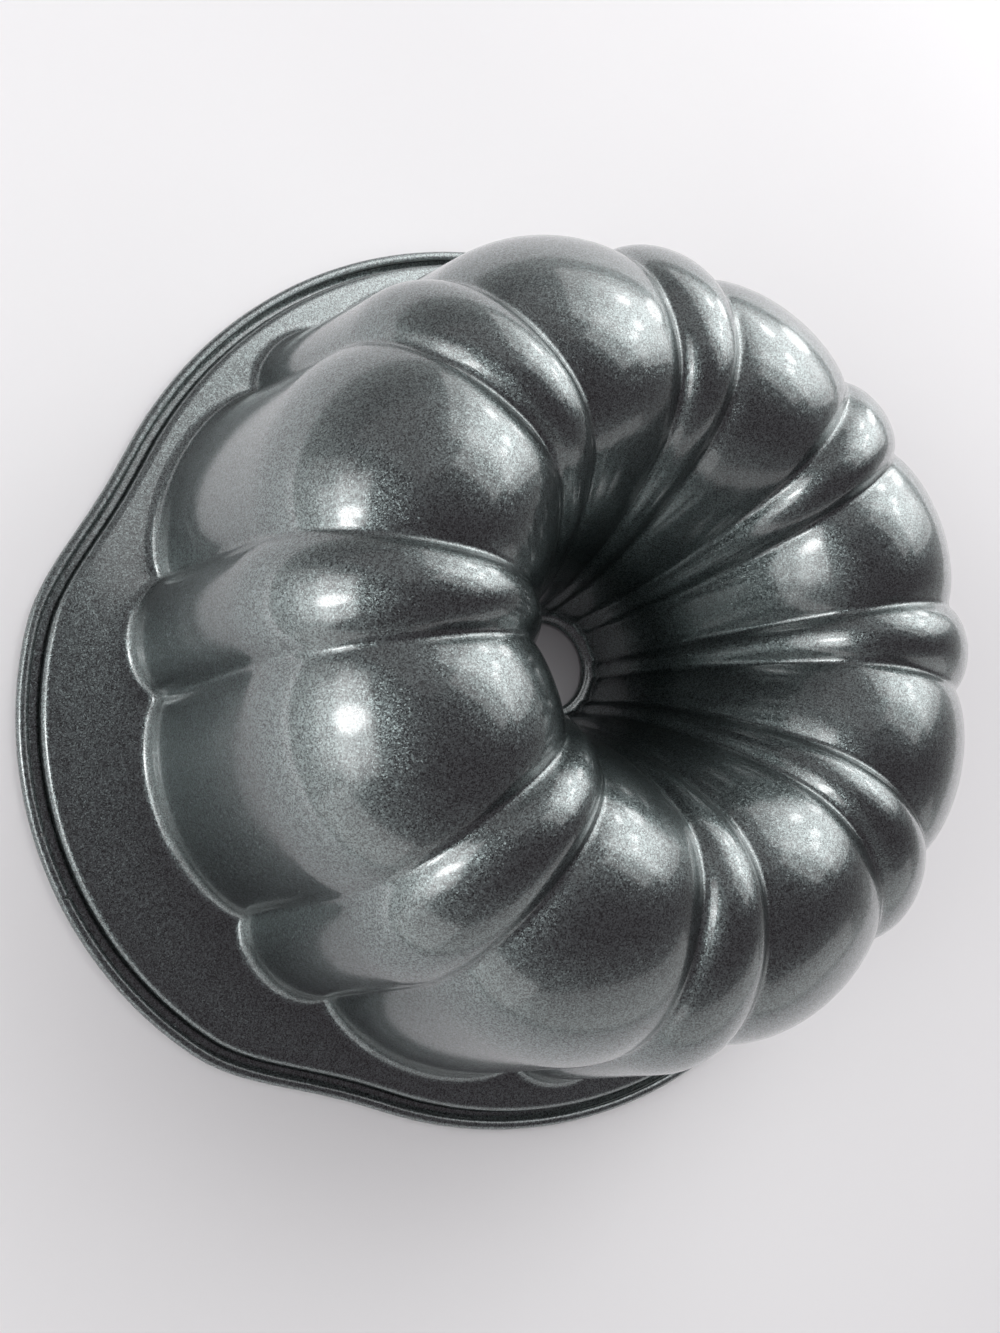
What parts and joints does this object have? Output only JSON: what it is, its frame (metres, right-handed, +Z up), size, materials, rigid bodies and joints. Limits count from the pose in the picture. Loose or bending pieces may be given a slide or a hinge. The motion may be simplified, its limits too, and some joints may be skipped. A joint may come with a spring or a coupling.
{
  "type": "fluted tube pan",
  "caption": "Ring-shaped cake mould of dark coated sheet: wide and narrow rounded flutes around a tapered centre tube, a flat flange with side lugs and a wired rolled rim.",
  "frame": {"origin": "on the centre tube's axis, in the plane of the rim's underside, with the pan upside down", "axes": "+Z up along the centre tube from the rim to the crown, +X through the middle of a lug, +Y completes the frame"},
  "size_m": [0.2896, 0.2598, 0.0886],
  "materials": {
    "nonstick_coating": "dark grey metallic non-stick coating, satin with a fine orange peel",
    "steel_wire": "plain drawn wire"
  },
  "bodies": {
    "root": {"pan_body": "nonstick_coating", "rim_wire": "steel_wire"}
  },
  "joints": []
}
